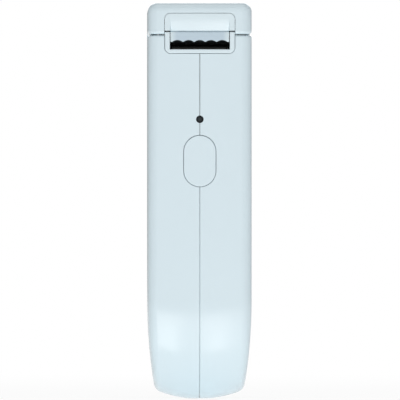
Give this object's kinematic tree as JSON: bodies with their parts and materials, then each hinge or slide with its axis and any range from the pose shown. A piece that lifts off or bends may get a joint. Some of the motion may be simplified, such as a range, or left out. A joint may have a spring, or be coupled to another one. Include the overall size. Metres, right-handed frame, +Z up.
{
  "type": "label printer",
  "caption": "Pocket thermal label printer with a hinged top lid, tape slot and tear bar at the narrow end, an oval button, a roll bay and a geared platen drive",
  "frame": {"origin": "centre of the footprint on the surface that the printer stands on", "axes": "+Z up along the printer's height, -Y out of the narrow face with the tape slot, +X across its thickness"},
  "size_m": [0.0288, 0.075, 0.11],
  "materials": {
    "casing_plastic": "pale blue-white moulded plastic, very fine texture",
    "trim_plastic": "slightly glossier plastic in the casing's colour",
    "tear_bar_steel": "satin stainless steel",
    "bright_steel": "ground steel pins and shafts",
    "zinc_steel": "zinc-plated sheet steel",
    "screw_steel": "blackened steel screws",
    "roller_rubber": "ground black silicone rubber",
    "gear_plastic": "natural acetal",
    "black_plastic": "black moulded plastic",
    "connector_plastic": "cream nylon connector bodies",
    "smoked_lens": "smoked clear plastic, nearly black when unlit",
    "led_body": "white light source with a clear top",
    "board_laminate": "green solder mask over laminate",
    "head_ceramic": "alumina strip under a black glass overcoat",
    "head_aluminium": "extruded aluminium",
    "spring_steel": "spring steel strip",
    "chip_epoxy": "black epoxy",
    "shield_steel": "tinned steel shield can",
    "ferrite": "dark grey ferrite",
    "battery_foil": "aluminium laminate pouch",
    "adhesive_foam": "white foam tape",
    "wire_insulation": "insulated stranded wire",
    "cradle_plastic": "pale grey moulded plastic"
  },
  "bodies": {
    "casing": {"left_shell": "casing_plastic", "right_shell": "casing_plastic", "shell_screws": "screw_steel", "hinge_pin": "bright_steel", "exit_bezel": "trim_plastic", "button_switch": "black_plastic", "status_light_lens": "smoked_lens", "status_led": "led_body", "front_board": "board_laminate", "front_board_plug": "connector_plastic", "print_frame": "zinc_steel", "head_pivot_pin": "bright_steel", "head_spring": "spring_steel", "idler_axles": "bright_steel", "motor_can": "zinc_steel", "motor_screws": "screw_steel", "roll_cradle": "cradle_plastic", "sensor_board": "board_laminate", "label_sensor": "black_plastic", "battery_cell": "battery_foil", "battery_board": "board_laminate", "battery_pads": "adhesive_foam", "main_board": "board_laminate", "main_board_screws": "screw_steel", "processor_chip": "chip_epoxy", "wireless_module": "shield_steel", "motor_driver_chip": "chip_epoxy", "power_inductor": "ferrite", "battery_plug": "connector_plastic", "motor_plug": "connector_plastic", "head_cable_plug": "connector_plastic", "front_cable_plug": "connector_plastic", "usb_socket_shell": "bright_steel", "usb_socket_tongue": "black_plastic", "battery_wires": "wire_insulation", "motor_wires": "wire_insulation", "head_wires": "wire_insulation", "front_board_wires": "wire_insulation"},
    "lid": {"lid_shell": "casing_plastic", "lid_frame": "trim_plastic", "lid_screws": "screw_steel", "tear_bar": "tear_bar_steel", "platen_bushes": "black_plastic"},
    "button": {"button_cap": "casing_plastic", "switch_plunger": "black_plastic"},
    "print_head": {"head_carrier": "head_aluminium", "print_head": "head_ceramic", "head_plug": "connector_plastic"},
    "platen": {"platen_roller": "roller_rubber", "platen_shaft": "bright_steel", "platen_gear": "gear_plastic"},
    "upper_idler": {"upper_idler_gear": "gear_plastic"},
    "lower_idler": {"lower_idler_gear": "gear_plastic"},
    "motor_rotor": {"motor_shaft": "bright_steel", "motor_pinion": "gear_plastic"}
  },
  "joints": [
    {"name": "lid_hinge", "type": "hinge", "parent": "casing", "child": "lid", "pos_m": [0, 0.0357, 0.1018], "axis": [-1, 0, 0], "range_deg": [0, 95]},
    {"name": "button_press", "type": "slide", "parent": "casing", "child": "button", "axis": [0, 1, 0], "range_m": [0, 0.0004], "stiffness_N_per_m": 3000, "springref_m": -0.0001},
    {"name": "print_head_pivot", "type": "hinge", "parent": "casing", "child": "print_head", "pos_m": [0, -0.0215, 0.095], "axis": [1, 0, 0], "range_deg": [0, 2.5], "stiffness_Nm_per_rad": 0.5, "springref_deg": -2.86, "deforming": ["head_spring", "head_wires"]},
    {"name": "platen_spin", "type": "hinge", "parent": "lid", "child": "platen", "pos_m": [0, -0.03, 0.1013], "axis": [1, 0, 0], "continuous": true},
    {"name": "upper_idler_spin", "type": "hinge", "parent": "casing", "child": "upper_idler", "pos_m": [0, -0.0285, 0.09385], "axis": [1, 0, 0], "continuous": true},
    {"name": "lower_idler_spin", "type": "hinge", "parent": "casing", "child": "lower_idler", "pos_m": [0, -0.02222, 0.08659], "axis": [1, 0, 0], "continuous": true},
    {"name": "motor_spin", "type": "hinge", "parent": "casing", "child": "motor_rotor", "pos_m": [0, -0.02265, 0.079], "axis": [1, 0, 0], "continuous": true}
  ],
  "couplings": [
    {"joint": "upper_idler_spin", "follows": "platen_spin", "ratio": -0.9},
    {"joint": "lower_idler_spin", "follows": "platen_spin", "ratio": 0.64286},
    {"joint": "motor_spin", "follows": "platen_spin", "ratio": -1.8}
  ]
}
